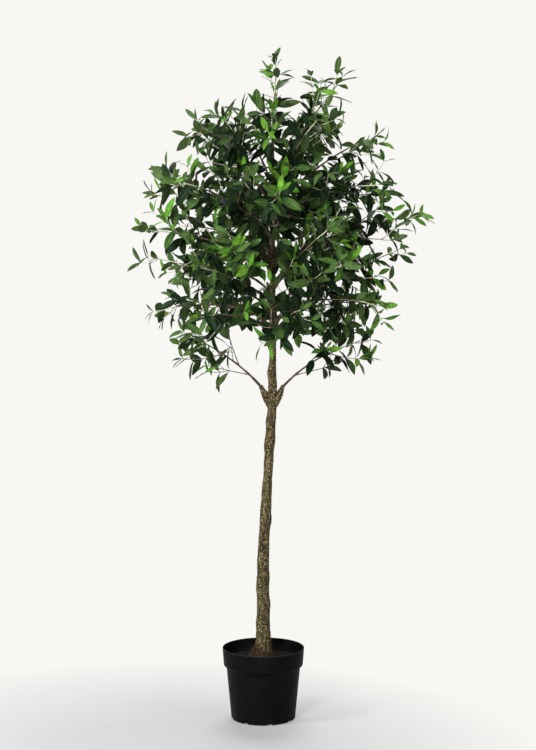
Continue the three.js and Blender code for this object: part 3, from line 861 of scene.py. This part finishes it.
def leafFaces():
    # quads and tip triangles of one leaf, each with 0 for blade, 1 for midrib and stalk, 2 for underside
    rows, columns = len(leafShape["rows"]), len(leafShape["columns"])
    quads = gridFaces(rows, columns, False)
    middle = np.arange(columns - 1) == columns // 2 - 1
    isRib = np.tile(middle, rows - 1)
    isRib[:columns - 1] = True
    last = (rows - 1) * columns
    fan = np.array([[last + k, last + k + 1, rows * columns] for k in range(columns - 1)])
    sheet = rows * columns + 1
    found = []
    for faces, isDark in ((quads, isRib), (fan, middle)):
        numbers = np.hstack([isDark * 1, np.full(len(faces), 2)])
        found.append((np.vstack([faces, faces[:, ::-1] + sheet]), numbers))
    return found, 2 * sheet


crownGaps = {  # light shows through here, given across, up and by radius, at the trunk as seen from the eye
    "eye": (0.0127, -5.298, 1.500),
    "through": [(0.245, 1.585, 0.028), (0.005, 1.693, 0.018), (-0.218, 1.612, 0.026), (-0.075, 1.038, 0.024),
                (0.308, 1.304, 0.018), (-0.010, 1.175, 0.017), (0.054, 1.172, 0.013)],
    "trunkFrom": 1.06, "trunkTo": 1.37, "trunkHalf": 0.016, "trunkShare": 0.40,  # leaves before the trunk
}


def isInGap(places, chances):
    gaps = crownGaps
    eye = np.array(gaps["eye"])
    seen = eye + (places - eye) * (eye[1] / (eye[1] - places[:, 1:2]))
    inside = np.zeros(len(places), bool)
    for across, height, radius in gaps["through"]:
        inside |= np.hypot(seen[:, 0] - across, seen[:, 2] - height) < radius
    beside = np.abs(seen[:, 0] - trunkPoint(seen[:, 2])[:, 0]) < gaps["trunkHalf"]
    level = (seen[:, 2] > gaps["trunkFrom"]) & (seen[:, 2] < gaps["trunkTo"])
    return inside | (beside & level & (places[:, 1] < 0) & (chances > gaps["trunkShare"]))


def freeLeaves():
    # those clear of the wood, the gaps and the sides of the box, felt at three places along each
    places = np.stack([leaf["root"] + leaf["direction"] * leaf["length"] * share for leaf in leaves
                       for share in (0.35, 0.7, 1.0)])
    margin = leafRule["boxMargin"]
    inside = (places > np.array(cadLow) - margin) & (places < np.array(cadHigh) + margin)
    chances = np.repeat([leaf["chance"] for leaf in leaves], 3)
    clear = isClearOfWood(places, leafRule["woodMargin"]) & inside.all(1) & ~isInGap(places, chances)
    return [leaf for leaf, isClear in zip(leaves, clear.reshape(-1, 3).all(1)) if isClear]


def makeLeaves():
    sheets, size = leafFaces()
    free = freeLeaves()
    for kind, look in leafKinds.items():
        own = [leaf for leaf in free if leaf["kind"] == kind]
        count = len(look["shades"])
        shades = np.array([int(leaf["chance"] * leafLook["shuffle"]) % count for leaf in own])[:, None]
        offsets = (np.arange(len(own)) * size)[:, None, None]
        parts = []
        for faces, number in sheets:
            numbers = np.where(number == 0, shades, number + count - 1).ravel()
            parts.append(((faces + offsets).reshape(-1, faces.shape[1]), numbers))
        coats = [(f"Leaf{k + 1}", colour, look["surface"]) for k, colour in enumerate(look["shades"])]
        coats += [("Midrib", look["rib"], leafLook["rib"]), ("Underside", look["under"], leafLook["under"])]
        materials = [mottledMaterial(kind + name, colour, leafLook, *surface)
                     for name, colour, surface in coats]
        points = np.vstack([leafPoints(leaf) for leaf in own])
        makePiece(kind + "Leaves", points, parts, materials, foliageNodes)
        print(kind, "leaves:", len(own))


makeLeaves()


# Pot: a thin moulded shell with a rim band, turned round the upright axis

potShape = {
    "height": 0.195, "base": 0.087, "neck": 0.100, "rim": 0.1108, "bandHeight": 0.050, "bandDraft": 0.0035,
    "wall": 0.0026, "floor": 0.004, "edge": 0.003, "lip": 0.0013, "lipInside": 0.003, "sides": 144,
    "underside": [(0.0, 0.0015), (0.060, 0.0015), (0.070, 0.0012)], "footFrom": 0.075,
    "notches": 8, "notchWidth": 0.012, "notchHeight": 0.0030, "notchEdge": 0.0016, "notchTurn": -78,
}
potLook = {
    "surface": (0.5, 0.06), "grain": (34, 5, (1, 1, 2.2)), "roughness": (0.42, 0.6),
    "tones": [(0.35, (7, 7, 7)), (0.7, (13, 13, 14))], "fineGrain": (1500, 2), "bump": (0.12, 0.0004),
    # the rim's top edge is painted lighter grey, a painted highlight
    "paintedRimHighlight": (52, 52, 54), "paintedRimHighlightShare": 0.7, "paintedRimHighlightBand": 0.0018,  # the rim's top edge is a little grey
}


def potProfile():
    # radius and height from the middle of the underside, over the rim, to the middle of the inside floor
    p = potShape
    base, neck, rim, edge, wall = (p[name] for name in ("base", "neck", "rim", "edge", "wall"))
    bandFoot = p["height"] - p["bandHeight"]
    band = rim - p["bandDraft"]
    profile = [*p["underside"], (base - edge, 0.0), (base - 0.0009, 0.0008), (base, edge)]
    for share in np.linspace(0.06, 1, 14):
        profile.append((mixed(base, neck, share), mixed(edge, bandFoot - edge, share)))
    # soft corners under the band
    profile += [(neck + 0.0006, bandFoot - 0.0018), (mixed(neck, band, 0.5), bandFoot + 0.0002)]
    profile += [(band - 0.0008, bandFoot + 0.0020), (band, bandFoot + edge + 0.0006)]
    for share in np.linspace(0.1, 0.97, 8):
        profile.append((mixed(band, rim, share), mixed(bandFoot + edge, p["height"], share)))
    for turn in np.radians(range(15, 166, 25)):
        inward, down = p["lip"] * (1 - math.cos(turn)), p["lip"] * (1 - math.sin(turn))
        profile.append((rim - inward, p["height"] - down))
    profile += [(rim - wall, p["height"] - p["lipInside"]), (band - wall, bandFoot + edge + wall)]
    profile += [(neck - wall, bandFoot), (base - wall, p["floor"]), (0.0, p["floor"])]
    return np.array(profile)


def potMaterial():
    look, top = potLook, potShape["height"]
    material, tree = newMaterial("blackPotPlastic", *look["surface"])
    haze = grain(tree, *look["grain"])
    black = ramp(tree, haze, look["tones"])
    # painted highlight: the rim's top edge turns lighter grey
    rim = spread(tree, heightIn(tree), 0, look["paintedRimHighlightShare"], top - look["paintedRimHighlightBand"], top)
    shade(tree, {"Base Color": blend(tree, rim, black, look["paintedRimHighlight"]),
                 "Roughness": spread(tree, haze, *look["roughness"])})
    bump(tree, grain(tree, *look["fineGrain"]), *look["bump"])
    return material


def makePot():
    p = potShape
    profile = potProfile()
    ring = fullTurn(p["sides"])
    radius = np.broadcast_to(profile[:, :1], (len(profile), p["sides"]))
    height = np.broadcast_to(profile[:, 1:], (len(profile), p["sides"])).copy()
    # drain notches lift the foot's edge at even places
    away = ring - math.radians(p["notchTurn"])
    near = np.angle(np.exp(1j * p["notches"] * away)) / p["notches"] * p["base"]
    half = p["notchWidth"] / 2
    notch = p["notchHeight"] * smoothStep(np.abs(near), half + p["notchEdge"], half)
    isFoot = (profile[:, 0] > p["footFrom"]) & (profile[:, 1] < p["edge"] + 0.0001)
    height[isFoot] = height[isFoot] + notch
    points = np.stack([radius * np.cos(ring), radius * np.sin(ring), height], -1).reshape(-1, 3)
    faces = gridFaces(len(profile), p["sides"])
    makePiece("potShell", points, [(faces, 0)], [potMaterial()], ["pot"])


makePot()


# Filling: black crumbly topping, with coir strands round the trunk's foot

fillShape = {
    "top": 0.165, "sunk": 0.0014, "hole": 0.012, "radius": 0.1052, "rings": 70, "sides": 160, "skirt": 0.012,
    "crumb": 0.0026, "crumbSize": 0.0075, "finer": 2.3, "settle": 0.0012, "settleAt": 0.030,
    "settleWidth": 0.014, "surface": (0.95, 0.12), "grain": (210, 6), "bump": (0.8, 0.002),
    "tones": [(0.36, (6, 5, 5)), (0.62, (17, 15, 13)), (0.8, (34, 27, 21))],
}


def makeFilling():
    f = fillShape
    ring = fullTurn(f["sides"])
    radii = np.linspace(f["hole"], f["radius"], f["rings"])[:, None]
    x, y = radii * np.cos(ring), radii * np.sin(ring)
    size, fine = f["crumbSize"], f["crumbSize"] / f["finer"]
    relief = [abs(noise.noise((a / size, b / size, 3.1))) + 0.5 * abs(noise.noise((a / fine, b / fine, 7.7)))
              for a, b in zip(x.ravel(), y.ravel())]
    settle = f["settle"] * np.exp(-(radii - f["settleAt"]) ** 2 / f["settleWidth"] ** 2)
    z = f["top"] - f["sunk"] + f["crumb"] * np.array(relief).reshape(x.shape) + settle
    points = np.stack([x, y, z], -1).reshape(-1, 3)
    # a short skirt down the pot's wall closes the edge
    points = np.vstack([points, points[-f["sides"]:] - up * f["skirt"]])
    faces = gridFaces(f["rings"] + 1, f["sides"])
    material = tonedMaterial("blackTopping", f)
    makePiece("potTopping", points, [(faces, 0)], [material], ["pot_fill"])


coirShape = {
    "strands": 60, "seed": 31, "turn": 3.3, "spread": 2.6,  # most lie to the left of the trunk
    "from": (0.023, 0.003), "climb": (0.008, 0.030), "climbCurve": 1.5, "foot": 0.031, "reach": 0.4,
    "lies": 0.0016, "bendAt": 0.55, "belly": 0.005, "sway": 0.012, "length": 0.030, "size": (0.6, 0.8),
    "radius": 0.00045, "taper": 0.7, "thickRoot": 1.2, "sides": 5, "rings": 7,
    "surface": (0.8, 0.25), "grain": (160, 2), "tones": [(0.35, (42, 31, 19)), (0.65, (94, 73, 46))],
}


def makeCoir():
    c, top = coirShape, fillShape["top"]
    draw = seeded(c["seed"])
    shares = np.linspace(0, 1, c["rings"])
    radii = c["radius"] * (c["thickRoot"] - c["taper"] * shares)
    slant = np.array([0.2, 0.3, 0.93])
    least, climb = c["climb"]
    tubes = []
    for _ in range(c["strands"]):
        turn = c["turn"] + c["spread"] * (draw() + draw() - 1)
        out = sideways(turn)
        across = np.cross(up, out)
        start = out * ranged(draw, *c["from"]) + up * (top + least + climb * draw() ** c["climbCurve"])
        length = c["length"] * ranged(draw, *c["size"])
        sway = across * about(draw, length)
        foot = out * (c["foot"] + c["reach"] * length * draw()) + sway + up * (top + c["lies"])
        bend = mixed(start, foot, c["bendAt"]) + out * c["belly"] + across * about(draw, c["sway"])
        strand = bentLine((start, bend, foot))
        tubes.append(tubeAlong(along(strand, shares), heading(strand, shares), radii, slant, c["sides"]))
    faces = tubeFaces(len(tubes), c["rings"], c["sides"])
    material = tonedMaterial("coirStrand", c)
    makePiece("coirStrands", np.vstack(tubes), [(faces, 0)], [material], [])


makeFilling()
makeCoir()


# Studio: pale floor, soft light, camera where the photograph was taken

studio = {
    # floorNear is the darker grey of a painted shade round shadeCentre
    "floorSize": 60, "floorDrop": 0.0004, "floorSurface": (0.9, 0.1), "floorNear": (191, 191, 192),
    "backdrop": (248, 247, 244), "shadeCentre": (-0.26, -0.36, 0), "fade": (0, 1, 0.30, 1.00),
    "sky": (0.13, 0.42, -0.1, 0.9),  # strength at the side and at the top, and the heights of the two
    "camera": crownGaps["eye"], "tilt": 6.06, "lens": 95.568, "sensor": 36,
}
lamps = {  # where each stands, what it points at, its width and its watts
    "keyLight": ((-1.9, -4.8, 2.1), (0, 0, 1.2), 1.4, 260),
    "leftLight": ((-2.4, -1.2, 2.6), (0, 0, 0.6), 0.8, 54),
    "sideLight": ((3.2, -2.2, 2.4), (0, 0, 1.2), 1.6, 36),
    "backLight": ((0.0, 2.4, 3.8), (0, 0, 0.9), 2.6, 95),
}


def makeFloor():
    half = studio["floorSize"]
    mesh = bpy.data.meshes.new("floor")
    corners = [(-half, -half, 0), (half, -half, 0), (half, half, 0), (-half, half, 0)]
    mesh.from_pydata(corners, [], [(0, 1, 2, 3)])
    floor = addObject("floor", mesh, (0, 0, -studio["floorDrop"]))
    material, tree = newMaterial("paleFloor", *studio["floorSurface"])
    shade(tree, {"Base Color": paint(*studio["floorNear"])})
    # further off, the floor that the camera sees runs into the bright backdrop; nearer the shade centre it
    # keeps a darker grey, a painted shade
    ends = {0: placeIn(tree), 1: studio["shadeCentre"]}
    far = spread(tree, addNode(tree, "VectorMath", ends, "Value", operation="DISTANCE"), *studio["fade"])
    isSeen = addNode(tree, "LightPath", {}, "Is Camera Ray")
    share = addNode(tree, "Math", {0: far, 1: isSeen}, operation="MULTIPLY")
    glow = addNode(tree, "Emission", {"Color": paint(*studio["backdrop"])})
    near = tree.nodes["Principled BSDF"].outputs["BSDF"]
    both = addNode(tree, "MixShader", {0: share, 1: near, 2: glow})
    plug(tree, tree.nodes["Material Output"], {"Surface": both})
    mesh.materials.append(material)


def makeSky():
    world = bpy.data.worlds.new("studioLight")
    bpy.context.scene.world = world
    world.use_nodes = True
    tree = world.node_tree
    tree.nodes.clear()
    way = addNode(tree, "TexCoord", {}, "Generated")
    height = addNode(tree, "SeparateXYZ", {"Vector": way}, "Z")
    light = addNode(tree, "Background", {"Strength": spread(tree, height, *studio["sky"], "SMOOTHSTEP")})
    seen = addNode(tree, "Background", {"Color": paint(*studio["backdrop"])})
    isSeen = addNode(tree, "LightPath", {}, "Is Camera Ray")
    both = addNode(tree, "MixShader", {0: isSeen, 1: light, 2: seen})
    addNode(tree, "OutputWorld", {"Surface": both})


def makeLamp(name, place, target, size, watts):
    lamp = bpy.data.lights.new(name, "AREA")
    lamp.shape = "DISK"
    lamp.size = size
    lamp.energy = watts
    way = np.array(target) - np.array(place)
    yaw = math.atan2(way[0], -way[1])
    pitch = math.atan2(math.hypot(way[0], way[1]), -way[2])
    addObject(name, lamp, place, (pitch, 0, math.pi + yaw))


def makeCamera():
    lens = bpy.data.cameras.new("camera")
    lens.sensor_width = studio["sensor"]
    lens.lens = studio["lens"]
    turn = (math.radians(90 - studio["tilt"]), 0, 0)
    bpy.context.scene.camera = addObject("camera", lens, studio["camera"], turn)


makeFloor()
makeSky()
for name, lamp in lamps.items():
    makeLamp(name, *lamp)
makeCamera()
bpy.context.scene.view_settings.view_transform = "Standard"
print("studio ready")

print("cad box", [round(value, 3) for value in (*cadLow, *cadHigh)])
